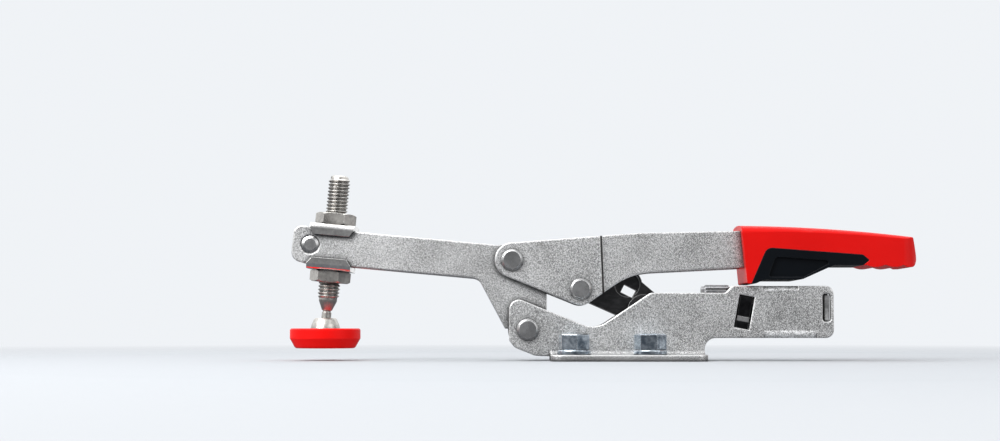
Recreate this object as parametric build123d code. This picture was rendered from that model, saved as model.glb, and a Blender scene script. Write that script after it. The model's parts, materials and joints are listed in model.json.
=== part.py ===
from build123d import *
import os
from math import atan2, cos, radians, sin, sqrt, tan

# Self-adjusting horizontal toggle clamp with an open arm.
# Millimetres. +X points to the grip, +Z up, and the clamp is symmetric about the XZ plane.
# The origin is the centre of the four mounting holes, on the underside of the base.
# Side views are drawn as (x, z) and thickened along Y. Left is the -Y side.

# Clearances
RUNNING = 0.05
SLIDING = 0.1
SIDE_GAP = 0.3

# Pivots in side view
ARM_PIVOT = (-30.0, 11.2)
HANDLE_PIVOT = (-35.7, 36.35)
LINK_PIVOT = (-10.85, 25.85)
LINK_LENGTH = 24.3
SLIDE_HEIGHT = 18.0
SLIDE_PIVOT = (LINK_PIVOT[0] + sqrt(LINK_LENGTH**2 - (LINK_PIVOT[1] - SLIDE_HEIGHT) ** 2), SLIDE_HEIGHT)

# Rivets
RIVET_SHANK = 3.0
RIVET_HEAD = 3.95
RIVET_FACE = 3.2
RIVET_HEAD_HEIGHT = 1.5
RIVET_BEVEL = 1.1

# Spindle thread, and the sheet stack across the clamp from the middle outwards
THREAD_RADIUS = 3.95
SLOT_GAP = 0.35
ARM_SLOT = 2 * (THREAD_RADIUS + SLOT_GAP)
ARM_SHEET = 3.0
SHEET = 2.3
ARM_INNER = ARM_SLOT / 2
ARM_OUTER = ARM_INNER + ARM_SHEET
SIDE_INNER = ARM_OUTER + SIDE_GAP
SIDE_OUTER = SIDE_INNER + SHEET

# Base
BASE_WIDTH = 50.0
FLANGE_FRONT = -21.85
FLANGE_REAR = 33.7
FLANGE_CORNER = 4.0
BEND = 1.5
BASE_FRONT = -36.8
BASE_REAR = 80.35
BASE_TOP = 24.5
HOUSING_TOP = 27.0
HOUSING_BOTTOM = 8.2
HOUSING_STEP = 42.4
HOLE_SPACING_X = 27.1
HOLE_SPACING_Y = 36.0
HOLE_RADIUS = 3.25
FOLD_START = 55.0
TOP_FOLD_LENGTH = 12.6
BOTTOM_FOLD_LENGTH = 19.2
FOLD_RADIUS = 1.9

# Slanted window and what sits in it
WINDOW = (48.1, 17.5)
WINDOW_SIZE = (5.6, 12.0)
WINDOW_TILT = 10.5
LOCK_THICKNESS = 4.4
LOCK_SEAT = -1.5
SHIM_HEIGHT = 1.7

# Rear cross plate
REAR_SLOT = (77.8, 19.1)
REAR_SLOT_SIZE = (2.9, 10.0)
REAR_PLATE = 1.7

# Slide
FORK_INNER = 4.0
FORK_OUTER = SIDE_INNER - 0.4
FORK_BOSS = 6.0
FORK_WEB = 27.2
FORK_WEB_LENGTH = 4.0
BAR_HALF_WIDTH = 3.5
BAR_BOTTOM = 14.2
BAR_TOP = 20.4
BAR_REAR = 66.0

# Spring
SPRING_WIRE = 0.55
SPRING_RADIUS = 5.95
SPRING_TURNS = 4
SPRING_FRONT = 52.3

# Force screw
SCREW_HEIGHT = 24.4
SCREW_FRONT = 33.6
SCREW_COLLAR = (2.6, 1.0)
SCREW_HEAD = (3.2, 8.9)
SCREW_SHANK = 1.85
SCREW_GROOVES = 12
SCREW_BLOCK = (43.8, 2.4)

# Arm, measured along its own axis from the handle pivot
ARM_SLOPE = 5.2
ARM_LENGTH = 80.1
ARM_TOP = 5.2
ARM_BOTTOM = -7.6
ARM_LUG = 0.4
ARM_LUG_START = ARM_LENGTH - 5.7
ARM_FOOT = 7.2
FRONT_RIVET = (ARM_LENGTH - 6.4, -0.9)
FRONT_RIVET_BARREL = 3.35
FRONT_RIVET_TENON = 3.15
FRONT_RIVET_BEVEL = 0.4
BUSH_RADIUS = 4.6

# Spindle and pad
SPINDLE_ALONG = FRONT_RIVET[0] - FRONT_RIVET_BARREL - THREAD_RADIUS - SIDE_GAP
BALL_BELOW_ARM = 22.3
THREAD_START = 10.0
SPINDLE_TOP = 55.3
NECK_RADIUS = 1.75
CONE = (3.3, 9.2)
BALL_RADIUS = 3.4
SADDLE_LENGTH = 16.0
SADDLE_SHEET = 1.9
SADDLE_FLANGE = 2.3
NUT_FLATS = 13.0
NUT_HEIGHT = 4.3
PAD_RADIUS = 12.85
PAD_FACE = 10.85
PAD_TOP = -0.9
PAD_BOTTOM = -8.14
CUP_TOP = 2.9
CUP_MOUTH = 3.9
CUP_RADIUS = 5.3
CUP_FLANGE = 6.8

# Handle
HANDLE_NOSE = 6.3
HANDLE_LOBE = 5.8
HANDLE_REAR = 98.0
JOGGLE = -3.2
JOGGLE_HEIGHT = 37.5
JOGGLE_LEAN = 0.037
JOGGLE_DEPTH = 1.0
JOGGLE_RUN = 0.7
JOGGLE_RADIUS = 0.3

# Grip
GRIP_HALF_WIDTH = 13.0
GRIP_FRONT = 46.9
GRIP_REAR = 110.9
GRIP_TOP = 49.2
GRIP_ARCH = (42.5, 550.0)
GRIP_CROWN = 0.9
GRIP_EDGE = 3.0
GRIP_PADS = (95.2, 102.2)
GRIP_PAD_RADIUS = 7.2
PANEL_DEPTH = 1.2


# Helpers

def rounded_outline(corners):
    """Closed face through (x, y, radius) corners, each rounded by its own radius."""
    ends = []
    edges = []
    for index, (x, y, radius) in enumerate(corners):
        here = Vector(x, y)
        before = (Vector(*corners[index - 1][:2]) - here).normalized()
        after = (Vector(*corners[(index + 1) % len(corners)][:2]) - here).normalized()
        if radius == 0:
            ends.append((here, here))
            continue
        half = radians(before.get_angle(after) / 2)
        start = here + before * (radius / tan(half))
        end = here + after * (radius / tan(half))
        middle = here + (before + after).normalized() * (radius / sin(half) - radius)
        edges.append(ThreePointArc(start, middle, end))
        ends.append((start, end))
    for index, (start, _) in enumerate(ends):
        previous = ends[index - 1][1]
        if (start - previous).length > 1e-6:
            edges.append(Line(previous, start))
    return make_face(edges)


def disc(centre, radius):
    return Pos(*centre) * Circle(radius)


def plate(face, inner, thickness):
    """Side-view face as a plate on the left, from the inner face outwards."""
    return extrude(Plane.XZ.offset(inner) * face, amount=thickness)


def slab(face, half_width):
    """Side-view face as a solid centred on the middle plane."""
    return extrude(Plane.XZ * face, amount=half_width, both=True)


def across(centre, radius, half_width):
    """Cylinder across the clamp."""
    return slab(disc(centre, radius), half_width)


def other_side(part):
    return mirror(part, about=Plane.XZ)


def turned(profile):
    """Solid of revolution about Z from (radius, height) points."""
    return revolve(Plane.XZ * make_face(Polyline(*profile, close=True)), axis=Axis.Z)


def rivet(pivot, grip):
    """Rivet across the clamp with a bevelled head outside each half of the grip."""
    end = grip + RIVET_HEAD_HEIGHT
    bevel = end - RIVET_BEVEL
    half = [(0, end), (RIVET_FACE, end), (RIVET_HEAD, bevel), (RIVET_HEAD, grip), (RIVET_SHANK, grip)]
    profile = half + [(radius, -height) for radius, height in reversed(half)]
    return Pos(pivot[0], 0, pivot[1]) * Rot(90, 0, 0) * turned(profile)


def arm_point(along, up):
    """Side-view point from distances along the arm's axis and above it."""
    slope = radians(ARM_SLOPE)
    x = HANDLE_PIVOT[0] - along * cos(slope) + up * sin(slope)
    z = HANDLE_PIVOT[1] + along * sin(slope) + up * cos(slope)
    return (x, z)


# Base

def base_outline():
    """Upright part of a base side: nose, valley for the handle's nose, step up to the housing."""
    slope_end = (-9.05, 12.9)
    nose_corner = (BASE_FRONT, slope_end[1] + (slope_end[0] - BASE_FRONT) * tan(radians(21.3)))
    return rounded_outline(
        [
            (BASE_FRONT, 7.4, 1.5),
            (-34.8, 4.8, 3.0),
            (-27.4, 1.8, 4.0),
            (FLANGE_FRONT, 1.6, 0),
            (FLANGE_FRONT, SHEET + BEND + 0.4, 0),
            (FLANGE_REAR, SHEET + BEND + 0.4, 0),
            (FLANGE_REAR, HOUSING_BOTTOM, HOUSING_BOTTOM - SHEET - BEND - 0.4),
            (BASE_REAR, HOUSING_BOTTOM, 3.0),
            (BASE_REAR, HOUSING_TOP, 3.0),
            (HOUSING_STEP + 1.3, HOUSING_TOP, 1.4),
            (HOUSING_STEP - 0.9, BASE_TOP, 1.6),
            (14.3, BASE_TOP, 3.0),
            (-5.65, 11.2, 9.0),
            (*nose_corner, 3.6),
        ]
    )


def base_foot():
    """Bent flange of the left base side."""
    top = SHEET + BEND + 0.4
    section = rounded_outline(
        [
            (-SIDE_INNER, top, 0),
            (-SIDE_INNER, 0, SHEET + BEND),
            (-BASE_WIDTH / 2, 0, 0),
            (-BASE_WIDTH / 2, SHEET, 0),
            (-SIDE_OUTER, SHEET, BEND),
            (-SIDE_OUTER, top, 0),
        ]
    )
    foot = extrude(Plane.YZ.offset(FLANGE_FRONT) * section, amount=FLANGE_REAR - FLANGE_FRONT)
    return fillet(foot.edges().filter_by(Axis.Z).group_by(Axis.Y)[0], FLANGE_CORNER)


def fold(edge, inward, length):
    """Tab of the left side folded over the housing, at its top or bottom edge."""
    tip = -SLIDING / 2
    section = rounded_outline(
        [
            (-SIDE_OUTER, edge + inward * FOLD_RADIUS, 0),
            (-SIDE_OUTER, edge, FOLD_RADIUS - 0.01),
            (tip, edge, 0),
            (tip, edge + inward * SHEET, 0),
            (-SIDE_INNER, edge + inward * SHEET, 0),
            (-SIDE_INNER, edge + inward * FOLD_RADIUS, 0),
        ]
    )
    return extrude(Plane.YZ.offset(FOLD_START) * section, amount=length)


def fold_room(edge, inward, length):
    """What the fold takes away from the flat edge of the side."""
    middle = (FOLD_START + length / 2, -(SIDE_INNER + SIDE_OUTER) / 2, edge + inward * FOLD_RADIUS / 2)
    return Pos(*middle) * Box(length, SHEET + 1, FOLD_RADIUS)


def window_frame():
    """Local frame of the slanted window: x across it, y up along it."""
    return Pos(*WINDOW) * Rot(0, 0, -WINDOW_TILT)


def base_left():
    side = plate(base_outline(), SIDE_INNER, SHEET)
    for edge, inward, length in (
        (HOUSING_TOP, -1, TOP_FOLD_LENGTH),
        (HOUSING_BOTTOM, 1, BOTTOM_FOLD_LENGTH),
    ):
        side = side - fold_room(edge, inward, length) + fold(edge, inward, length)
    side = side + base_foot()
    side -= across(ARM_PIVOT, RIVET_SHANK + RUNNING, SIDE_OUTER + 1)
    side -= slab(window_frame() * Rectangle(*WINDOW_SIZE), SIDE_OUTER + 1)
    side -= slab(Pos(*REAR_SLOT) * RectangleRounded(*REAR_SLOT_SIZE, 0.9), SIDE_OUTER + 1)
    for x in (-HOLE_SPACING_X / 2, HOLE_SPACING_X / 2):
        side -= Pos(x, -HOLE_SPACING_Y / 2, SHEET / 2) * Cylinder(HOLE_RADIUS, SHEET + 1)
    return side


def rear_plate():
    """Cross plate between the base sides, with tabs through the upright slots."""
    body = Pos(REAR_SLOT[0], 0, REAR_SLOT[1] - 1.6) * Box(REAR_PLATE, 2 * SIDE_INNER, 16.4)
    tab = Pos(REAR_SLOT[0], 0, REAR_SLOT[1] - 0.1) * Box(REAR_PLATE, 2 * SIDE_OUTER + 0.3, 9.2)
    return body + tab


# Lock in the slanted window

def in_window(low, high, half_thickness, half_width):
    """Block in the window's frame, from low to high along it."""
    face = Pos(0, (low + high) / 2) * Rectangle(2 * half_thickness, high - low)
    return slab(window_frame() * face, half_width)


def bar_room(clearance):
    """Space round the slide's bar."""
    middle = (BAR_TOP + BAR_BOTTOM) / 2
    height = BAR_TOP - BAR_BOTTOM + 2 * clearance
    return Pos(WINDOW[0], 0, middle) * Box(14, 2 * (BAR_HALF_WIDTH + clearance), height)


def lock_plate():
    """Tilting plate astride the bar, with a tab in each window."""
    half = LOCK_THICKNESS / 2
    body = in_window(LOCK_SEAT, 8.3, half, SIDE_INNER - SIDE_GAP)
    tabs = in_window(LOCK_SEAT, WINDOW_SIZE[1] / 2 - 0.4, half, SIDE_OUTER - 0.6)
    low_room = Pos(WINDOW[0], 0, BAR_BOTTOM) * Box(14, 2 * (BAR_HALF_WIDTH + SIDE_GAP), 2 * SIDE_INNER)
    return body + tabs - bar_room(SIDE_GAP) - (low_room - Pos(WINDOW[0], 0, BAR_TOP + 5) * Box(20, 20, 10))


def lock_shims():
    """Hardened strips that the lock plate tilts on, one in each window."""
    top = LOCK_SEAT - SLIDING
    strip = in_window(top - SHIM_HEIGHT, top, LOCK_THICKNESS / 2, SIDE_OUTER - 0.6)
    return strip - Box(200, 2 * (BAR_HALF_WIDTH + 0.7), 100)


def lock_saddle():
    """Block under the bar that carries the shims."""
    top = LOCK_SEAT - SLIDING - SHIM_HEIGHT
    half = LOCK_THICKNESS / 2
    posts = in_window(-WINDOW_SIZE[1] / 2, top, half, SIDE_OUTER - 0.6)
    bridge = in_window(-8.6, -4.7, half, SIDE_INNER)
    return posts + bridge - bar_room(SIDE_GAP)


def lock_spring():
    """Compression spring round the slide's bar, with its ends ground flat."""
    wire = SPRING_WIRE
    rear = REAR_SLOT[0] - REAR_PLATE / 2
    length = rear - SPRING_FRONT
    middle = (BAR_TOP + BAR_BOTTOM) / 2
    path = Helix(pitch=length / SPRING_TURNS, height=length + 2 * wire, radius=SPRING_RADIUS)
    start = Plane(origin=path @ 0, z_dir=path % 0)
    coil = sweep(start * RegularPolygon(wire, 5), path=path)
    coil = Pos(SPRING_FRONT - wire, 0, middle) * Rot(0, 90, 0) * coil
    return coil & (Pos((SPRING_FRONT + rear) / 2, 0, middle) * Box(length, 20, 20))


# Force screw

def along_x(x, height, radius, length):
    """Cylinder along X that starts at x."""
    return Pos(x + length / 2, 0, height) * Rot(0, 90, 0) * Cylinder(radius, length)


def screw_block():
    height = 2 * (HOUSING_TOP - 0.2 - SCREW_HEIGHT)
    block = Pos(SCREW_BLOCK[0] + SCREW_BLOCK[1] / 2, 0, SCREW_HEIGHT - 0.4)
    block *= Box(SCREW_BLOCK[1], 2 * SIDE_INNER, height + 0.8)
    return block - along_x(SCREW_BLOCK[0] - 1, SCREW_HEIGHT, SCREW_SHANK + RUNNING, SCREW_BLOCK[1] + 2)


def plate_front(height):
    """Where the lock plate's front face is at a height."""
    tilt = radians(WINDOW_TILT)
    return WINDOW[0] + (height - WINDOW[1]) * tan(tilt) - LOCK_THICKNESS / 2 / cos(tilt)


def force_screw():
    """Grooved head in front of the block, and the point that the lock plate leans on."""
    head_start = SCREW_FRONT + SCREW_COLLAR[1]
    head_end = head_start + SCREW_HEAD[1]
    point = plate_front(SCREW_HEIGHT) - SIDE_GAP - 0.15
    head = along_x(head_start, SCREW_HEIGHT, SCREW_HEAD[0], SCREW_HEAD[1])
    head = chamfer(head.edges().filter_by(GeomType.CIRCLE).sort_by(Axis.X)[0], 0.5)
    for index in range(SCREW_GROOVES):
        groove = Pos(head_start + SCREW_HEAD[1] / 2, 0, SCREW_HEIGHT) * Rot(index * 360 / SCREW_GROOVES, 0, 0)
        head -= groove * Pos(0, 0, SCREW_HEAD[0]) * Rot(45, 0, 0) * Box(SCREW_HEAD[1] + 1, 0.6, 0.6)
    screw = head + along_x(SCREW_FRONT, SCREW_HEIGHT, *SCREW_COLLAR)
    shank = along_x(head_end, SCREW_HEIGHT, SCREW_SHANK, point - head_end)
    screw += chamfer(shank.edges().group_by(Axis.X)[-1], SCREW_SHANK / 2)
    socket = Plane.YZ.offset(SCREW_FRONT - 1) * Pos(0, SCREW_HEIGHT) * RegularPolygon(1.5, 6, major_radius=False)
    return screw - extrude(socket, amount=3.5)


# Slide and link

def slide():
    """Fork for the link in front, square bar behind."""
    fork_face = disc(SLIDE_PIVOT, FORK_BOSS) + rounded_outline(
        [
            (SLIDE_PIVOT[0], SLIDE_HEIGHT - FORK_BOSS, 0),
            (FORK_WEB, BAR_BOTTOM - 1.6, 1.0),
            (FORK_WEB + FORK_WEB_LENGTH, BAR_BOTTOM - 1.6, 1.0),
            (FORK_WEB + FORK_WEB_LENGTH, BAR_TOP, 0),
            (FORK_WEB - 6, BAR_TOP, 2.0),
            (SLIDE_PIVOT[0], SLIDE_HEIGHT + FORK_BOSS, 0),
        ]
    )
    fork = slab(fork_face, FORK_OUTER)
    fork -= Pos(FORK_WEB - 25, 0, SLIDE_HEIGHT) * Box(50, 2 * FORK_INNER, 30)
    length = BAR_REAR - FORK_WEB
    bar = Pos(FORK_WEB + length / 2, 0, (BAR_TOP + BAR_BOTTOM) / 2)
    bar *= Box(length, 2 * BAR_HALF_WIDTH, BAR_TOP - BAR_BOTTOM)
    bar = chamfer(bar.edges().group_by(Axis.X)[-1], 0.8)
    return fork + bar - across(SLIDE_PIVOT, RIVET_SHANK, FORK_OUTER + 1)


def slide_pins():
    """The two ends of the slide's pivot pin, one in each fork cheek."""
    pin = across(SLIDE_PIVOT, RIVET_SHANK, FORK_OUTER)
    return pin - across(SLIDE_PIVOT, RIVET_SHANK + 1, FORK_INNER)


LINK_HALF_WIDTH = FORK_INNER - 0.4
LINK_BOSS = 5.5
LINK_EYE = 5.3
LINK_DISC = (6.3, 27.7)
LINK_DISC_RADIUS = 5.4


def link():
    """Link from the handle to the slide, with a round recess and a small window in its web."""
    body_face = disc(LINK_PIVOT, LINK_BOSS) + disc(SLIDE_PIVOT, LINK_EYE) + disc(LINK_DISC, LINK_DISC_RADIUS)
    body_face += rounded_outline(
        [
            (LINK_PIVOT[0], LINK_PIVOT[1] + LINK_BOSS, 0),
            (LINK_DISC[0], LINK_DISC[1] + LINK_DISC_RADIUS, 0),
            (LINK_DISC[0] + 4.2, LINK_DISC[1] + 1.8, 0),
            (17.0, 24.0, 2.0),
            (16.9, SLIDE_HEIGHT, 0),
            (SLIDE_PIVOT[0] - 2.45, SLIDE_HEIGHT - 4.75, 0),
            (-9.3, 21.6, 0),
            LINK_PIVOT + (0,),
        ]
    )
    body = slab(body_face, LINK_HALF_WIDTH)
    body += across(LINK_PIVOT, LINK_BOSS, ARM_OUTER)
    body -= across(LINK_PIVOT, RIVET_SHANK + RUNNING, ARM_OUTER + 1)
    body -= across(SLIDE_PIVOT, RIVET_SHANK, LINK_HALF_WIDTH + 1)
    recess = plate(disc(LINK_DISC, LINK_DISC_RADIUS - 0.8), LINK_HALF_WIDTH - 1.4, 2)
    body -= recess + other_side(recess)
    window = Pos(6.75, 25.2) * Rot(0, 0, -27) * Rectangle(4.8, 3.1)
    return body - slab(window, LINK_HALF_WIDTH + 1)


def link_pin():
    """Middle length of the slide's pivot pin, in the link's eye."""
    return across(SLIDE_PIVOT, RIVET_SHANK, LINK_HALF_WIDTH)


# Arm

def arm_left():
    """Arm side: straight fork bar with a stop lug in front, and a leg down to the arm pivot."""
    heel = HANDLE_PIVOT[0] + 12.5
    face = rounded_outline(
        [
            (*arm_point(ARM_LENGTH, ARM_TOP + ARM_LUG), 3.0),
            (*arm_point(ARM_LENGTH, ARM_BOTTOM), 3.7),
            (-48.0, 29.8, 4.5),
            (ARM_PIVOT[0] - 8.3, ARM_PIVOT[1] + 0.4, 0),
            (ARM_PIVOT[0], ARM_PIVOT[1], 0),
            (heel, ARM_PIVOT[1], 0),
            (heel, HANDLE_PIVOT[1] + 3.9, 8.5),
            (*arm_point(ARM_LUG_START, ARM_TOP), 0.3),
            (*arm_point(ARM_LUG_START, ARM_TOP + ARM_LUG), 0.6),
        ]
    )
    face += disc(ARM_PIVOT, ARM_FOOT)
    side = plate(face, ARM_INNER, ARM_SHEET)
    side -= across(ARM_PIVOT, RIVET_SHANK + RUNNING, ARM_OUTER + 1)
    side -= across(HANDLE_PIVOT, RIVET_SHANK + RUNNING, ARM_OUTER + 1)
    side -= across(arm_point(*FRONT_RIVET), FRONT_RIVET_TENON, ARM_OUTER + 1)
    holes = side.edges().filter_by(GeomType.CIRCLE).filter_by(lambda edge: edge.is_closed)
    return chamfer(holes.group_by(Axis.Y)[0].sort_by(Axis.X)[0], FRONT_RIVET_BEVEL)


def arm_front_rivet():
    """Spacer barrel between the arm sides, with a tenon closed in each and bevelled at its end."""
    end = ARM_OUTER + 0.25
    half = [
        (0, end),
        (FRONT_RIVET_TENON - 1.0, end),
        (FRONT_RIVET_TENON, end - FRONT_RIVET_BEVEL),
        (FRONT_RIVET_TENON, ARM_INNER),
        (FRONT_RIVET_BARREL, ARM_INNER),
    ]
    profile = half + [(radius, -height) for radius, height in reversed(half)]
    centre = arm_point(*FRONT_RIVET)
    return Pos(centre[0], 0, centre[1]) * Rot(90, 0, 0) * turned(profile)


def bush(pivot):
    return across(pivot, BUSH_RADIUS, ARM_INNER) - across(pivot, RIVET_SHANK + RUNNING, ARM_INNER + 1)


# Spindle, saddle washers, nuts and pad, in the spindle's own frame from its ball centre

BALL = arm_point(SPINDLE_ALONG, ARM_BOTTOM - BALL_BELOW_ARM)
SPINDLE_FRAME = Pos(BALL[0], 0, BALL[1]) * Rot(0, ARM_SLOPE, 0)
SEAT_LOW = BALL_BELOW_ARM - SLIDING
SEAT_HIGH = BALL_BELOW_ARM + ARM_TOP - ARM_BOTTOM + SLIDING


def spindle():
    profile = [
        (0, 0),
        (NECK_RADIUS, sqrt(BALL_RADIUS**2 - NECK_RADIUS**2)),
        (NECK_RADIUS, 5.0),
        (NECK_RADIUS - 0.3, 5.2),
        (NECK_RADIUS - 0.3, 5.6),
        (NECK_RADIUS + 0.1, 5.8),
        CONE,
        (THREAD_RADIUS, THREAD_START),
        (THREAD_RADIUS, SPINDLE_TOP - 0.9),
        (THREAD_RADIUS - 0.9, SPINDLE_TOP),
        (0, SPINDLE_TOP),
    ]
    return SPINDLE_FRAME * (turned(profile) + Sphere(BALL_RADIUS))


def saddle_washer(seat, outward):
    """Bent washer over the arm's edge, with a flange down each side."""
    half_width = ARM_OUTER + SLIDING + SADDLE_SHEET
    top = seat + outward * SADDLE_SHEET
    section = rounded_outline(
        [
            (-half_width, top, SADDLE_SHEET),
            (half_width, top, SADDLE_SHEET),
            (half_width, seat - outward * SADDLE_FLANGE, 0),
            (half_width - SADDLE_SHEET, seat - outward * SADDLE_FLANGE, 0),
            (half_width - SADDLE_SHEET, seat, 0),
            (SADDLE_SHEET - half_width, seat, 0),
            (SADDLE_SHEET - half_width, seat - outward * SADDLE_FLANGE, 0),
            (-half_width, seat - outward * SADDLE_FLANGE, 0),
        ]
    )
    body = extrude(Plane.YZ * section, amount=SADDLE_LENGTH / 2, both=True)
    half = SADDLE_LENGTH / 2
    rim = seat - outward * SADDLE_FLANGE
    cut = make_face(Polyline((half + 1, rim - outward), (half - 2.0, rim - outward), (half - 1.6, rim),
                             (half, seat), (half + 1, seat), close=True))
    corner = slab(cut, half_width + 1)
    body -= corner + mirror(corner, about=Plane.YZ)
    return SPINDLE_FRAME * (body - Cylinder(THREAD_RADIUS + 0.3, 200))


def nut(start):
    """Thin nut, bevelled on both faces."""
    corner = NUT_FLATS / 2 / cos(radians(30))
    hexagon = extrude(RegularPolygon(corner, 6), amount=NUT_HEIGHT)
    rise = 0.55
    cone = turned(
        [
            (0, 0),
            (corner - 1.0, 0),
            (corner + 0.02, rise),
            (corner + 0.02, NUT_HEIGHT - rise),
            (corner - 1.0, NUT_HEIGHT),
            (0, NUT_HEIGHT),
        ]
    )
    body = (hexagon & cone) - Cylinder(THREAD_RADIUS + RUNNING, 40)
    return SPINDLE_FRAME * Pos(0, 0, start) * body


def ball_cup():
    """Pressed socket round the ball, flanged into the pad."""
    socket = BALL_RADIUS + RUNNING
    flare = CUP_TOP - 1.1
    profile = [
        (0, PAD_BOTTOM + 3.9),
        (CUP_RADIUS, PAD_BOTTOM + 3.9),
        (CUP_RADIUS, PAD_TOP - 1.5),
        (CUP_FLANGE, PAD_TOP - 1.5),
        (CUP_FLANGE, PAD_TOP),
        (CUP_RADIUS + 0.1, PAD_TOP),
        (CUP_RADIUS - 0.3, 0.6),
        (CUP_MOUTH + 0.3, CUP_TOP - 0.5),
        (CUP_MOUTH - 0.2, CUP_TOP),
        (0, CUP_TOP),
    ]
    rim = CUP_MOUTH - 0.5
    mouth = turned([(0, flare), (sqrt(socket**2 - flare**2), flare), (rim, CUP_TOP + 0.1), (0, CUP_TOP + 0.1)])
    return Pos(BALL[0], 0, BALL[1]) * (turned(profile) - Sphere(socket) - mouth)


def pad():
    """Pressure pad with a pocket for the cup and a bevelled, rounded working face."""
    corner = PAD_BOTTOM + 3.6
    face = rounded_outline(
        [
            (0, PAD_BOTTOM, 0),
            (PAD_FACE, PAD_BOTTOM, 1.2),
            (PAD_RADIUS, corner, 0),
            (PAD_RADIUS, PAD_TOP - 0.5, 0),
            (PAD_RADIUS - 0.5, PAD_TOP, 0),
            (CUP_FLANGE, PAD_TOP, 0),
            (CUP_FLANGE, PAD_TOP - 1.5, 0),
            (CUP_RADIUS, PAD_TOP - 1.5, 0),
            (CUP_RADIUS, PAD_BOTTOM + 3.9, 0),
            (0, PAD_BOTTOM + 3.9, 0),
        ]
    )
    return Pos(BALL[0], 0, BALL[1]) * revolve(Plane.XZ * face, axis=Axis.Z)


# Handle

def handle_outline():
    """Nose round the handle pivot, lobe round the link pivot, and the long lever."""
    lobe_low = (LINK_PIVOT[0] + 3.33, LINK_PIVOT[1] - 4.75)
    lobe_slope = 35.0
    waist_x = 7.55
    body = rounded_outline(
        [
            (HANDLE_PIVOT[0], HANDLE_PIVOT[1] + HANDLE_NOSE, 0),
            (10.6, 46.2, 60.0),
            (GRIP_FRONT, 46.9, 0),
            (HANDLE_REAR, 44.0, 3.0),
            (HANDLE_REAR, 37.0, 3.0),
            (GRIP_FRONT, 33.6, 0),
            (waist_x, lobe_low[1] + (waist_x - lobe_low[0]) * tan(radians(lobe_slope)), 28.0),
            (*lobe_low, 0),
            LINK_PIVOT + (0,),
            (LINK_PIVOT[0] - 2.2, LINK_PIVOT[1] - 5.36, 0),
            (HANDLE_PIVOT[0] - 2.4, HANDLE_PIVOT[1] - 5.82, 0),
            HANDLE_PIVOT + (0,),
        ]
    )
    return body + disc(HANDLE_PIVOT, HANDLE_NOSE) + disc(LINK_PIVOT, HANDLE_LOBE)


def handle_sheet():
    """Sheet of the left handle side, stepped inboard behind the link pivot along a line that leans a little."""
    front = HANDLE_PIVOT[0] - 20
    start = JOGGLE + JOGGLE_HEIGHT * JOGGLE_LEAN - JOGGLE_RUN / 2
    end = start + JOGGLE_RUN
    shift = SHEET * tan(atan2(JOGGLE_DEPTH, JOGGLE_RUN) / 2)
    plan = rounded_outline(
        [
            (front, -SIDE_OUTER, 0),
            (start, -SIDE_OUTER, JOGGLE_RADIUS),
            (end, -SIDE_OUTER + JOGGLE_DEPTH, JOGGLE_RADIUS),
            (HANDLE_REAR + 10, -SIDE_OUTER + JOGGLE_DEPTH, 0),
            (HANDLE_REAR + 10, -SIDE_INNER + JOGGLE_DEPTH, 0),
            (end - shift, -SIDE_INNER + JOGGLE_DEPTH, JOGGLE_RADIUS),
            (start - shift, -SIDE_INNER, JOGGLE_RADIUS),
            (front, -SIDE_INNER, 0),
        ]
    )
    return extrude(plan, amount=60, dir=(-JOGGLE_LEAN, 0, 1))


def handle_left():
    side = slab(handle_outline(), SIDE_OUTER + 1) & handle_sheet()
    side -= across(HANDLE_PIVOT, RIVET_SHANK + RUNNING, SIDE_OUTER + 1)
    return side - across(LINK_PIVOT, RIVET_SHANK, SIDE_OUTER + 1)


# Grip

INSERT_LOW = (51.4, 27.8)


def grip_outline():
    """Front, rear and underside of the grip from the side, open upwards past its back."""
    face = rounded_outline(
        [
            (GRIP_FRONT - 0.3, GRIP_TOP + 3, 0),
            (GRIP_REAR - 9.6, GRIP_TOP + 3, 0),
            (GRIP_REAR - 1.6, 44.2, 0),
            (GRIP_REAR, 36.6, 2.5),
            (GRIP_REAR - 1.4, 33.7, 2.0),
            (GRIP_REAR - 4.2, 33.7, 1.0),
            (GRIP_REAR - 5.4, 34.4, 0.5),
            (80.2, 34.4, 3.0),
            (68.6, 29.2, 4.0),
            (55.2, 29.2, 1.0),
            (INSERT_LOW[0] + 0.6, INSERT_LOW[1], 0.5),
            (GRIP_FRONT + 2.0, INSERT_LOW[1], 0.6),
        ]
    )
    for x in GRIP_PADS:
        face += disc((x, 33.7 + GRIP_PAD_RADIUS), GRIP_PAD_RADIUS)
    return face


def insert_outline():
    """Insert as seen from the side, run on below the grip's underside."""
    return rounded_outline(
        [
            (INSERT_LOW[0] - 1.9, INSERT_LOW[1] - 2, 0),
            (56.1, 40.75, 3.0),
            (90.7, 38.2, 1.2),
            (93.1, 36.2, 0.4),
            (88.4, 32.4, 0),
            (80.0, 26.0, 0),
        ]
    )


def handle_tang():
    """Room in the grip for both handle sides."""
    left = handle_sheet() & slab(handle_outline(), SIDE_OUTER + 1)
    left = left & (Pos(GRIP_FRONT + 39, 0, 40) * Box(82, 40, 40))
    return left + other_side(left)


def grip_back():
    """Crowned, round-edged section turned through the long arch of the grip's back."""
    start, radius = GRIP_ARCH
    edge = GRIP_TOP - GRIP_CROWN
    crown = ThreePointArc((-GRIP_HALF_WIDTH, edge), (0, GRIP_TOP), (GRIP_HALF_WIDTH, edge))
    walls = Polyline((GRIP_HALF_WIDTH, edge), (GRIP_HALF_WIDTH, 20), (-GRIP_HALF_WIDTH, 20), (-GRIP_HALF_WIDTH, edge))
    section = make_face([crown, walls])
    section = fillet(section.vertices().group_by(Axis.Y)[1], GRIP_EDGE)
    axis = Axis((start, 0, GRIP_TOP - radius), (0, 1, 0))
    return revolve(Plane.YZ.offset(start) * section, axis=axis, revolution_arc=8)


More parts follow.
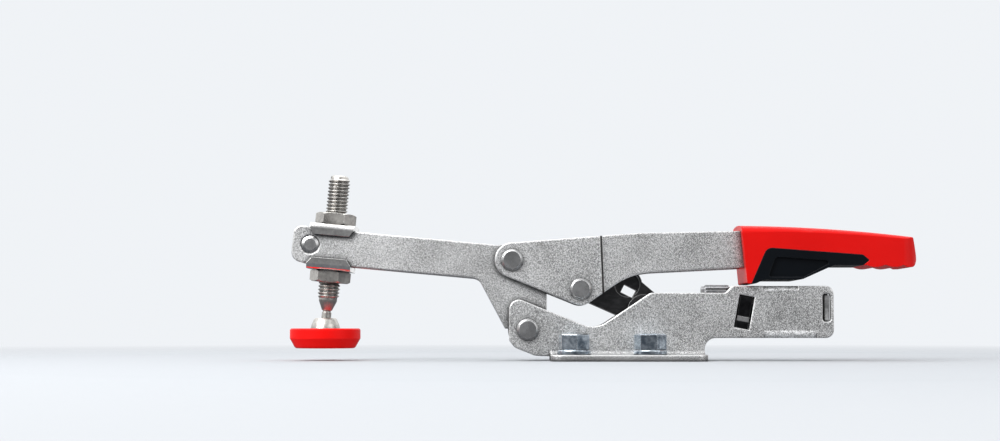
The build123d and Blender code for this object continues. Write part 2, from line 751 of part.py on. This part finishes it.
def grip_body():
    """Whole grip before it is divided into shell and insert."""
    plan = rounded_outline(
        [
            (GRIP_FRONT - 1, -GRIP_HALF_WIDTH, 0),
            (GRIP_REAR, -GRIP_HALF_WIDTH + 0.8, 6.0),
            (GRIP_REAR + 0.5, 0, 30.0),
            (GRIP_REAR, GRIP_HALF_WIDTH - 0.8, 6.0),
            (GRIP_FRONT - 1, GRIP_HALF_WIDTH, 0),
        ]
    )
    return slab(grip_outline(), GRIP_HALF_WIDTH + 1) & extrude(plan, amount=60) & grip_back()


def grip_insert():
    body = grip_body() & slab(insert_outline(), GRIP_HALF_WIDTH + 1)
    panel = rounded_outline(
        [
            (56.4, 30.1, 0.8),
            (59.2, 37.5, 1.8),
            (80.3, 36.0, 0.8),
            (69.4, 30.1, 1.5),
        ]
    )
    recess = plate(panel, GRIP_HALF_WIDTH - PANEL_DEPTH - 0.3, PANEL_DEPTH + 2)
    return body - recess - other_side(recess) - handle_tang()


def grip_shell():
    return grip_body() - slab(insert_outline(), GRIP_HALF_WIDTH + 1) - handle_tang()


# Build

os.makedirs("parts", exist_ok=True)

left_base = base_left()
left_arm = arm_left()
left_handle = handle_left()

nodes = {
    "base_left": left_base,
    "base_right": other_side(left_base),
    "rear_plate": rear_plate(),
    "lock_saddle": lock_saddle(),
    "lock_shims": lock_shims(),
    "lock_plate": lock_plate(),
    "lock_spring": lock_spring(),
    "screw_block": screw_block(),
    "force_screw": force_screw(),
    "arm_pivot_rivet": rivet(ARM_PIVOT, SIDE_OUTER + SLIDING),
    "arm_left": left_arm,
    "arm_right": other_side(left_arm),
    "arm_front_rivet": arm_front_rivet(),
    "arm_pivot_bush": bush(ARM_PIVOT),
    "handle_pivot_bush": bush(HANDLE_PIVOT),
    "handle_pivot_rivet": rivet(HANDLE_PIVOT, SIDE_OUTER + SLIDING),
    "handle_left": left_handle,
    "handle_right": other_side(left_handle),
    "link_rivet": rivet(LINK_PIVOT, SIDE_OUTER),
    "grip_shell": grip_shell(),
    "grip_insert": grip_insert(),
    "link": link(),
    "link_pin": link_pin(),
    "slide": slide(),
    "slide_pins": slide_pins(),
    "washer_upper": saddle_washer(SEAT_HIGH, 1),
    "washer_lower": saddle_washer(SEAT_LOW, -1),
    "nut_upper": nut(SEAT_HIGH + SADDLE_SHEET),
    "nut_lower": nut(SEAT_LOW - SADDLE_SHEET - NUT_HEIGHT),
    "spindle": spindle(),
    "ball_cup": ball_cup(),
    "pad": pad(),
}

for name, shape in nodes.items():
    export_step(shape, f"parts/{name}.step")
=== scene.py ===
import bmesh
import bpy
import json
from math import cos, pi, radians, sin
from mathutils import Matrix, Vector


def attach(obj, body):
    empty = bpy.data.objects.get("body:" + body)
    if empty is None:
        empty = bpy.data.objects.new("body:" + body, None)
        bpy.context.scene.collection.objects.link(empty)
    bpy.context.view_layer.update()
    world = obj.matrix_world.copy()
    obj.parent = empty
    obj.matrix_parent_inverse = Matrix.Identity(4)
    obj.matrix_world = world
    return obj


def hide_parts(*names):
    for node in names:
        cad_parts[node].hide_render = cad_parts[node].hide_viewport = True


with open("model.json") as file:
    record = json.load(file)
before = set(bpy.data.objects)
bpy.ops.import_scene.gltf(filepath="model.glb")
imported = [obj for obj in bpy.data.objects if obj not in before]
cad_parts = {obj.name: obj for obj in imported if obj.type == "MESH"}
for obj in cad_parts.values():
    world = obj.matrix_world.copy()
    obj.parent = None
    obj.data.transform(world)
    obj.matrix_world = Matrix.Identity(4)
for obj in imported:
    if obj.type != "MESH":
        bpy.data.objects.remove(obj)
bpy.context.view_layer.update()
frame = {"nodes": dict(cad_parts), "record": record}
nodes = frame["nodes"]

# Sizes shared with the CAD source, in metres
MM = 0.001
ARM_SLOPE = radians(5.2)
BALL = Vector((-104.238, 0, 12.564)) * MM
THREAD_RADIUS = 3.95 * MM
THREAD_PITCH = 1.25 * MM
HOLES = [(x * 13.55 * MM, y * 18.0 * MM) for x in (-1, 1) for y in (-1, 1)]
FLANGE_TOP = 2.3 * MM

# Colours
WHITE = (1.0, 1.0, 1.0)
# Painted highlight on edges
EDGE_HIGHLIGHT = (0.85, 0.84, 0.82)
# Painted shade in inner corners and gaps
CREVICE_SHADE_COLOR = (0.03, 0.03, 0.03)

# Edges and corners: rays for each, the cosines between the surface's normal and the rounded one
# at which an edge starts and is full, and the open shares at which a crevice starts and is full
EDGE_SAMPLES = 6
EDGE_COSINES = (0.995, 0.9)
CREVICE_SHARES = (0.95, 0.45)


# Material helpers

class Nodes:
    """A shader tree and short ways to add its nodes."""

    def __init__(self, tree):
        self.tree = tree
        source = tree.nodes.new("ShaderNodeTexCoord")
        self.coords = source.outputs["Object"]
        self.normals = source.outputs["Normal"]
        self.directions = source.outputs["Generated"]

    def put(self, socket, value):
        if isinstance(value, bpy.types.NodeSocket):
            self.tree.links.new(value, socket)
        elif socket.type == "RGBA" and len(value) == 3:
            socket.default_value = (*value, 1)
        else:
            socket.default_value = value

    def add(self, kind, inputs=None, **settings):
        """A new node with its settings, and a value or a link for each input that is named."""
        node = self.tree.nodes.new("ShaderNode" + kind)
        for name, value in settings.items():
            setattr(node, name, value)
        for name, value in (inputs or {}).items():
            self.put(node.inputs[name], value)
        return node

    def noise(self, scale, detail, rough, stretch=(1, 1, 1), shift=0.0):
        mapping = self.add("Mapping", {"Vector": self.coords, "Location": (shift,) * 3, "Scale": stretch})
        texture = self.add("TexNoise", {
            "Vector": mapping.outputs["Vector"],
            "Scale": scale,
            "Detail": detail,
            "Roughness": rough,
        })
        return texture.outputs["Fac"]

    def span(self, value, low, high, to_low=0.0, to_high=1.0, curve="LINEAR"):
        """The value's place between low and high, spread from to_low to to_high."""
        numbers = {"Value": value, "From Min": low, "From Max": high, "To Min": to_low, "To Max": to_high}
        return self.add("MapRange", numbers, clamp=True, interpolation_type=curve).outputs["Result"]

    def math(self, operation, a, b):
        return self.add("Math", {0: a, 1: b}, operation=operation).outputs["Value"]

    def product(self, *factors):
        total = factors[0]
        for factor in factors[1:]:
            total = self.math("MULTIPLY", total, factor)
        return total

    def mix(self, factor, a, b):
        return self.add("Mix", {"Factor": factor, "A": a, "B": b}, data_type="RGBA").outputs["Result"]

    def split(self, vector):
        return self.add("SeparateXYZ", {"Vector": vector}).outputs


class Material(Nodes):
    """A material with a Principled shader."""

    def __init__(self, name):
        self.material = bpy.data.materials.new(name)
        self.material.use_nodes = True
        super().__init__(self.material.node_tree)
        self.shader = self.tree.nodes["Principled BSDF"]

    def set(self, name, value):
        self.put(self.shader.inputs[name], value)

    def rounded(self, width):
        """The normals of the surface with its edges rounded off."""
        return self.add("Bevel", {"Radius": width}, samples=EDGE_SAMPLES).outputs["Normal"]

    def outer_edges(self, width):
        """1 on outer edges and corners, 0 on flat ground."""
        plain = self.add("NewGeometry").outputs["Normal"]
        dot = self.add("VectorMath", {0: self.rounded(width), 1: plain}, operation="DOT_PRODUCT")
        return self.span(dot.outputs["Value"], *EDGE_COSINES)

    def crevices(self, reach):
        """1 in inner corners and narrow gaps, 0 in the open; the materials paint shade there."""
        near = self.add("AmbientOcclusion", {"Distance": reach}, samples=EDGE_SAMPLES)
        return self.span(near.outputs["AO"], *CREVICE_SHARES)

    def band(self, value, low, high, fade):
        """1 from low to high, in millimetres, fading at both."""
        rise = self.span(value, low * MM, (low + fade) * MM)
        fall = self.span(value, high * MM, (high - fade) * MM)
        return self.product(rise, fall)

    def patch(self, left, right, low, high):
        """1 inside a rectangle of the side view, in millimetres, fading at its edges."""
        at = self.split(self.coords)
        return self.product(self.band(at["X"], left, right, FADE_X), self.band(at["Z"], low, high, FADE_Z))

    def bent_wall(self):
        """1 on the short slanting wall where a sheet is set inwards, 0 elsewhere; zinc_steel paints shade
        there.
        """
        facing = self.split(self.normals)
        along, across, up = (self.math("ABSOLUTE", facing[axis], 0.0) for axis in "XYZ")
        slant = self.product(self.span(along, 0.3, 0.45), self.span(across, 0.25, 0.4))
        above_base = self.span(self.split(self.coords)["Z"], FLANGE_TOP, 2 * FLANGE_TOP)
        return self.product(slant, self.span(up, 0.25, 0.1), above_base)

    def relief(self, height, depth, strength, rounding):
        """Bumps of that depth on edges rounded by that width."""
        bump = self.add("Bump", {
            "Strength": strength,
            "Distance": depth,
            "Height": height,
            "Normal": self.rounded(rounding),
        })
        self.set("Normal", bump.outputs["Normal"])


# The housing's two pressed folds in the side view, in millimetres: left, right, low and high, and
# the widths over which they fade
FOLDS = ((54.8, 67.8, 24.9, 27.6), (54.8, 74.4, 7.6, 11.0))
FADE_X = 1.5
FADE_Z = 0.5


def zinc_steel():
    """Stamped zinc-plated sheet: pepper grain, painted shade in corners and on the set-in step, painted
    highlight on the edges, wrinkled folds with painted highlight streaks.
    """
    m = Material("zinc_steel")
    grain = m.noise(3400, 1.0, 0.5)
    fine = m.noise(5800, 1.0, 0.5, shift=0.37)
    pepper = m.math("ADD", m.product(grain, 0.6), m.product(fine, 0.4))
    cloud = m.noise(60, 3.0, 0.55, shift=0.11)
    shade = m.math("ADD", pepper, m.product(m.math("SUBTRACT", cloud, 0.5), 0.16))
    color = m.mix(m.span(shade, 0.41, 0.58), (0.2, 0.2, 0.2), WHITE)

    edge = m.outer_edges(0.8 * MM)
    # Painted highlight: the outer edges are mixed towards near white
    color = m.mix(m.product(edge, 0.7), color, (0.97, 0.97, 0.96))

    folds = m.math("MAXIMUM", *(m.patch(*box) for box in FOLDS))
    wrinkle = m.noise(420, 4.0, 0.65, (1.0, 1.0, 2.2), shift=0.21)
    # Painted highlight: white streaks along the wrinkles of the pressed folds; the wrinkles are also given as
    # bumps below
    fold_highlight = m.product(folds, m.span(wrinkle, 0.5, 0.58))
    color = m.mix(m.product(fold_highlight, 0.85), color, WHITE)

    flat = m.math("SUBTRACT", 1.0, folds)
    # Painted shade: inner corners, gaps and the slanting wall of the set-in step go near black, outside the
    # folds
    dark = m.product(m.math("MAXIMUM", m.crevices(2.2 * MM), m.bent_wall()), flat)
    m.set("Base Color", m.mix(dark, color, (0.05, 0.05, 0.05)))
    m.set("Metallic", m.span(flat, 0.0, 1.0, 0.45, 1.0))
    m.set("Roughness", m.math("SUBTRACT", m.span(pepper, 0.35, 0.65, 0.58, 0.42), m.product(edge, 0.12)))
    wrinkles = m.product(folds, wrinkle, 6.0)
    m.relief(m.math("ADD", pepper, wrinkles), 0.05 * MM, 0.6, 0.9 * MM)
    return m.material


def metal(
    name, color, dark, rough, grain=900, depth=0.008, soft=0.2,
    edge_light_and_wear=0.5, edge=EDGE_HIGHLIGHT, edge_width=0.35, crevice_shade=0.6, reach=1.2,
):
    """Metal with fine grain and stains, a painted edge colour (pale for a painted highlight, dark for painted
    shade) and painted shade in corners.

    depth of the grain, soft and edge_width of the edges, and reach of the corners are in millimetres.
    """
    m = Material(name)
    fine = m.noise(grain, 3.0, 0.6)
    stain = m.noise(140, 3.0, 0.6)
    mottle = m.math("ADD", m.product(fine, 0.5), m.product(stain, 0.5))
    base = m.mix(m.span(mottle, 0.38, 0.62), dark, color)
    # Edge colour on the outer edges: a pale one is a painted highlight, a dark one painted shade
    with_edge_light = m.mix(m.product(m.outer_edges(edge_width * MM), edge_light_and_wear), base, edge)
    # Painted shade in inner corners and gaps
    m.set("Base Color", m.mix(m.product(m.crevices(reach * MM), crevice_shade), with_edge_light, CREVICE_SHADE_COLOR))
    m.set("Metallic", 1.0)
    m.set("Roughness", m.span(stain, 0.3, 0.7, rough - 0.06, rough + 0.08))
    m.relief(fine, depth * MM, 0.4, soft * MM)
    return m.material


def black_steel():
    """Blackened steel with faint scuffs and bare edges."""
    m = Material("black_steel")
    scuff = m.noise(260, 4.0, 0.7, (1, 1, 3))
    bare = m.product(m.outer_edges(0.4 * MM), 0.6)
    base = m.mix(m.span(scuff, 0.45, 0.75), (0.008, 0.008, 0.009), (0.03, 0.03, 0.032))
    m.set("Base Color", m.mix(bare, base, (0.4, 0.4, 0.4)))
    m.set("Metallic", bare)
    m.set("Roughness", m.span(scuff, 0.3, 0.7, 0.34, 0.5))
    m.set("Specular IOR Level", 0.3)
    m.relief(m.noise(1100, 3.0, 0.6), 0.01 * MM, 0.4, 0.25 * MM)
    return m.material


def plastic(name, color, deep, rough, grain, depth, gloss):
    """Moulded plastic: fine texture, faint flow clouds, and edges a little paler as a painted highlight."""
    m = Material(name)
    fine = m.noise(grain, 2.0, 0.5)
    cloud = m.noise(35, 3.0, 0.5)
    base = m.mix(m.span(cloud, 0.3, 0.7), deep, color)
    # Painted highlight: edges paler than the rest
    rim_highlight = tuple(min(1, c * 1.25 + 0.02) for c in color)
    m.set("Base Color", m.mix(m.product(m.outer_edges(0.5 * MM), 0.35), base, rim_highlight))
    m.set("Roughness", m.span(fine, 0.3, 0.7, rough - 0.04, rough + 0.06))
    m.set("Specular IOR Level", gloss)
    m.relief(fine, depth * MM, 0.35, 0.4 * MM)
    return m.material


materials = {
    "zinc_steel": zinc_steel(),
    # Rivets: white edges as a painted highlight ring, with painted shade around them
    "rivet_steel": metal("rivet_steel", (0.6, 0.6, 0.6), (0.48, 0.48, 0.48), 0.26, edge_light_and_wear=0.9, edge=WHITE),
    # Washers and other bright parts: pale edges as painted highlight, deep and wide painted shade in corners
    "bright_steel": metal("bright_steel", (0.9, 0.89, 0.88), (0.66, 0.65, 0.64), 0.12, crevice_shade=0.95, reach=2.0),
    "dark_steel": metal(
        "dark_steel", (0.03, 0.03, 0.032), (0.012, 0.012, 0.013), 0.34, edge_light_and_wear=0.25, edge=(0.4, 0.4, 0.4)
    ),
    "spindle_steel": metal("spindle_steel", (0.62, 0.6, 0.56), (0.4, 0.38, 0.36), 0.3),
    "black_steel": black_steel(),
    "grip_red": plastic("grip_red", (0.61, 0.003, 0.002), (0.54, 0.002, 0.001), 0.34, 1800, 0.006, 0.14),
    "grip_dark": plastic(
        "grip_dark", (0.003, 0.0045, 0.007), (0.0015, 0.0025, 0.004), 0.4, 1400, 0.01, 0.1
    ),
    "pad_red": plastic("pad_red", (0.76, 0.003, 0.002), (0.68, 0.002, 0.001), 0.4, 1200, 0.008, 0.12),
}
own_materials = {
    # Pale edges as a painted highlight on the dark screw
    "force_screw": metal(
        "force_screw_steel", (0.3, 0.3, 0.31), (0.12, 0.12, 0.13), 0.24, edge=(0.9, 0.9, 0.9)
    ),
    # Black edges and dark corners: painted shade in the gaps of the slot the plate sits in
    "rear_plate": metal(
        "staked_steel", (0.85, 0.85, 0.84), (0.4, 0.4, 0.4), 0.34,
        grain=1100, depth=0.12, edge_light_and_wear=1.0, edge=(0.02, 0.02, 0.02), edge_width=0.6, crevice_shade=1.0, reach=2.5,
    ),
}
# Pale edges: painted highlight on the hex screws and washers
screw_material = metal(
    "screw_steel", (0.8, 0.88, 0.95), (0.22, 0.28, 0.34), 0.12, grain=700, edge_light_and_wear=0.8, edge=(0.95, 0.97, 1.0)
)

slots = {entry["node"]: entry["material_slot"] for entry in frame["record"]["subparts"]}
for name, node in nodes.items():
    node.data.materials.clear()
    node.data.materials.append(own_materials.get(name, materials[slots[name]]))
    for face in node.data.polygons:
        face.material_index = 0


# Mesh helpers

def add_mesh(name, vertices, faces, material, body, slot, smooth):
    """A piece that rides on a body, with smooth shading up to that angle in degrees."""
    mesh = bpy.data.meshes.new(name)
    mesh.from_pydata([tuple(v) for v in vertices], [], faces)
    mesh.validate()
    piece = bpy.data.objects.new(name, mesh)
    bpy.context.scene.collection.objects.link(piece)
    mesh.materials.append(material)
    work = bmesh.new()
    work.from_mesh(mesh)
    bmesh.ops.recalc_face_normals(work, faces=work.faces)
    work.to_mesh(mesh)
    work.free()
    mesh.shade_smooth()
    mesh.set_sharp_from_angle(angle=radians(smooth))
    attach(piece, body)
    return piece


def on_circle(place, radius, height, angle):
    return place @ Vector((radius * cos(angle), radius * sin(angle), height))


def lathe(profile, place, segments=48):
    """Vertices and faces of a solid of revolution about the Z axis of place."""
    vertices = []
    faces = []
    rings = []
    for radius, height in profile:
        first = len(vertices)
        count = segments if radius else 1
        rings.append(range(first, first + count))
        vertices += [on_circle(place, radius, height, 2 * pi * i / segments) for i in range(count)]
    for low, high in zip(rings, rings[1:]):
        for i in range(segments):
            j = (i + 1) % segments
            if len(low) == 1:
                faces.append((low[0], high[i], high[j]))
            elif len(high) == 1:
                faces.append((low[i], low[j], high[0]))
            else:
                faces.append((low[i], low[j], high[j], high[i]))
    return vertices, faces


# Section of the thread's ridge, as place along one pitch and share of the full depth; how far its
# foot is sunk in the core; and the share of its depth that it gains in one turn
RIDGE = ((-0.46, 0.0), (-0.1, 1.0), (0.1, 1.0), (0.46, 0.0))
RIDGE_ROOT = 0.02 * MM
THREAD_FADE = 1.2


def thread(place, start, end, radius, depth, pitch, segments=40):
    """Helical ridge from start to end along Z, fading out at both ends, its foot sunk in the core."""
    vertices = []
    faces = []
    count = int((end - start) / pitch * segments)
    for step in range(count + 1):
        angle = 2 * pi * step / segments
        height = start + pitch * step / segments
        fade = min(1, step / segments * THREAD_FADE, (count - step) / segments * THREAD_FADE)
        for offset, rise in RIDGE:
            out = radius - depth + depth * rise * fade - RIDGE_ROOT * (rise == 0)
            vertices.append(on_circle(place, out, height + offset * pitch, angle))
    across = len(RIDGE)
    for step in range(count):
        a = across * step
        for k in range(across - 1):
            faces.append((a + k, a + k + 1, a + across + 1 + k, a + across + k))
    return vertices, faces


def joined(*parts):
    vertices = []
    faces = []
    for more_vertices, more_faces in parts:
        first = len(vertices)
        vertices += more_vertices
        faces += [tuple(first + i for i in face) for face in more_faces]
    return vertices, faces


# Spindle with its rolled thread, in place of the plain CAD spindle

# Heights are above the ball's centre
THREAD_DEPTH = 0.62 * MM
THREAD_START = 10.0 * MM
THREAD_END = 54.5 * MM
CORE = THREAD_RADIUS - THREAD_DEPTH
CORE_START = 9.6 * MM
SPINDLE_TOP = 55.3 * MM
BALL_RADIUS = 3.4 * MM
BALL_ANGLES = [radians(a) for a in range(10, 151, 10)]

# Neck, groove and cone: radius and height in millimetres
STEM = ((1.75, 2.95), (1.75, 5.0), (1.45, 5.2), (1.45, 5.6), (1.85, 5.8), (3.3, 9.2))

spindle_place = Matrix.Translation(BALL) @ Matrix.Rotation(ARM_SLOPE, 4, "Y")
spindle_profile = [
    (0, -BALL_RADIUS),
    *((BALL_RADIUS * sin(a), -BALL_RADIUS * cos(a)) for a in BALL_ANGLES),
    *((radius * MM, height * MM) for radius, height in STEM),
    (CORE, CORE_START),
    (CORE, SPINDLE_TOP - 1.0 * MM),
    (CORE - 0.3 * MM, SPINDLE_TOP - 0.3 * MM),
    (CORE - 0.7 * MM, SPINDLE_TOP),
    (0, SPINDLE_TOP),
]
spindle_mesh = joined(
    lathe(spindle_profile, spindle_place),
    thread(spindle_place, THREAD_START, THREAD_END, THREAD_RADIUS, THREAD_DEPTH, THREAD_PITCH),
)
spindle = add_mesh(
    "spindle_threaded", *spindle_mesh, materials["spindle_steel"], "spindle", "spindle_steel", 35
)
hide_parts("spindle")


# Mounting screws and washers on the flange

# Heights are above the flange
HEX_FLATS = 10.0 * MM
HEX_CORNER = HEX_FLATS / 2 / cos(pi / 6)
HEX_TURNS = (38, 12, 50, 47)
HEAD_HEIGHT = 5.9 * MM
SHANK_RADIUS = 2.9 * MM
SHANK_BOTTOM = -2.2 * MM
WASHER_HOLE = 3.2 * MM
WASHER_RADIUS = 6.0 * MM
WASHER_TOP = 1.6 * MM
WASHER_BEVEL = 0.2 * MM
WASHER_GAP = 0.02 * MM
SHANK_TOP = WASHER_TOP + 0.1 * MM


def hex_head(place, low, high):
    """Vertices and faces of a hexagon with a narrow chamfer below and a wide one on top."""
    rows = (
        (HEX_CORNER - 0.5 * MM, low),
        (HEX_CORNER, low + 0.25 * MM),
        (HEX_CORNER, high - 0.4 * MM),
        (HEX_CORNER - 0.8 * MM, high),
    )
    vertices = [on_circle(place, radius, height, 2 * pi * i / 6) for radius, height in rows for i in range(6)]
    faces = [tuple(range(5, -1, -1)), tuple(range(18, 24))]
    for row in range(3):
        for i in range(6):
            j = (i + 1) % 6
            faces.append((row * 6 + i, row * 6 + j, row * 6 + 6 + j, row * 6 + 6 + i))
    return vertices, faces


def mount_screw(index, x, y, angle):
    """Hex screw and its washer in one hole of the flange."""
    place = Matrix.Translation((x, y, FLANGE_TOP)) @ Matrix.Rotation(radians(angle), 4, "Z")
    head = hex_head(place, WASHER_TOP, WASHER_TOP + HEAD_HEIGHT)
    shank_profile = [
        (0, SHANK_BOTTOM),
        (SHANK_RADIUS, SHANK_BOTTOM),
        (SHANK_RADIUS, SHANK_TOP),
        (0, SHANK_TOP),
    ]
    screw = joined(head, lathe(shank_profile, place, 24))
    add_mesh(f"mount_screw_{index}", *screw, screw_material, "base", "bright_steel", 25)
    washer_profile = [
        (WASHER_HOLE, WASHER_GAP),
        (WASHER_RADIUS - WASHER_BEVEL, WASHER_GAP),
        (WASHER_RADIUS, WASHER_BEVEL),
        (WASHER_RADIUS, WASHER_TOP - WASHER_BEVEL),
        (WASHER_RADIUS - WASHER_BEVEL, WASHER_TOP),
        (WASHER_HOLE, WASHER_TOP),
        (WASHER_HOLE, WASHER_GAP),
    ]
    washer = lathe(washer_profile, place)
    add_mesh(f"mount_washer_{index}", *washer, screw_material, "base", "bright_steel", 30)


for index, ((x, y), angle) in enumerate(zip(HOLES, HEX_TURNS)):
    mount_screw(index, x, y, angle)


# Floor and studio light

GROUND = (0.87, 0.895, 0.925)
NEAR_FLOOR = (0.35, 0.363, 0.38)
FLOOR_FADE = (0.24, 0.62)
UNDER_LIGHT = (0.18, 0.185, 0.2)
SKY = (0.97, 0.985, 1.0)
FRONT_LIGHT = 0.24
REAR_LIGHT = 0.95
UPPER_LIGHT = 0.7
LAMP_AIM = Vector((0, 0, 0.02))


def floor():
    """Lit plane near the object, which turns into the plain ground of the backdrop further out."""
    bpy.ops.mesh.primitive_plane_add(size=8)
    plane = bpy.context.object
    plane.name = "floor"
    m = Material("floor")
    m.set("Base Color", NEAR_FLOOR)
    m.set("Roughness", 0.9)
    m.set("Specular IOR Level", 0.1)
    distance = m.add("VectorMath", {0: m.coords}, operation="LENGTH").outputs["Value"]
    path = m.add("LightPath").outputs
    glossy = path["Is Glossy Ray"]
    backdrop = m.product(m.span(distance, *FLOOR_FADE), path["Is Camera Ray"])
    glow = m.add("Emission", {"Color": m.mix(glossy, GROUND, UNDER_LIGHT)})
    mixer = m.add("MixShader", {
        0: m.math("MAXIMUM", backdrop, glossy),
        1: m.shader.outputs["BSDF"],
        2: glow.outputs["Emission"],
    })
    m.put(m.tree.nodes["Material Output"].inputs["Surface"], mixer.outputs["Shader"])
    plane.data.materials.append(m.material)


def studio():
    """Even pale ground for the camera; for the rest, bright above and behind, dimmer in front."""
    world = bpy.data.worlds.new("studio")
    bpy.context.scene.world = world
    world.use_nodes = True
    w = Nodes(world.node_tree)
    towards = w.split(w.directions)
    front = w.span(towards["Y"], -1.02, 0.1, FRONT_LIGHT, REAR_LIGHT, "SMOOTHSTEP")
    above = w.span(towards["Z"], 0.1, 0.9, 0.0, UPPER_LIGHT)
    lit = w.tree.nodes["Background"]
    w.put(lit.inputs["Color"], SKY)
    w.put(lit.inputs["Strength"], w.math("ADD", front, above))
    seen = w.add("Background", {"Color": GROUND})
    mixer = w.add("MixShader", {
        0: w.add("LightPath").outputs["Is Camera Ray"],
        1: lit.outputs["Background"],
        2: seen.outputs["Background"],
    })
    w.put(w.tree.nodes["World Output"].inputs["Surface"], mixer.outputs["Shader"])


def lamp(name, energy, size, at):
    data = bpy.data.lights.new(name, "AREA")
    data.energy = energy
    data.shape = "RECTANGLE"
    data.size, data.size_y = size
    light = bpy.data.objects.new(name, data)
    light.location = at
    light.rotation_mode = "QUATERNION"
    light.rotation_quaternion = (LAMP_AIM - Vector(at)).to_track_quat("-Z", "Y")
    bpy.context.scene.collection.objects.link(light)


floor()
studio()
lamp("key", 6.8, (0.6, 0.6), (-0.5, -0.5, 0.5))
lamp("top", 3.6, (1.0, 0.5), (-0.15, 0.12, 0.75))
lamp("fill", 1.5, (0.6, 0.6), (0.6, -0.6, 0.3))


# Camera, low in front of the arm's pivot, tilted upwards by some degrees

CAMERA_AT = (-29.95 * MM, -600 * MM, 11.45 * MM)
CAMERA_TILT = 3.8

camera_data = bpy.data.cameras.new("camera")
camera_data.sensor_width = 36
camera_data.lens = 58.8
camera_data.shift_x = -0.028
camera_data.clip_start = 0.01
camera_data.clip_end = 50
camera = bpy.data.objects.new("camera", camera_data)
camera.location = CAMERA_AT
camera.rotation_euler = (radians(90 + CAMERA_TILT), 0, 0)
bpy.context.scene.collection.objects.link(camera)
bpy.context.scene.camera = camera

bpy.context.scene.view_settings.view_transform = "Standard"
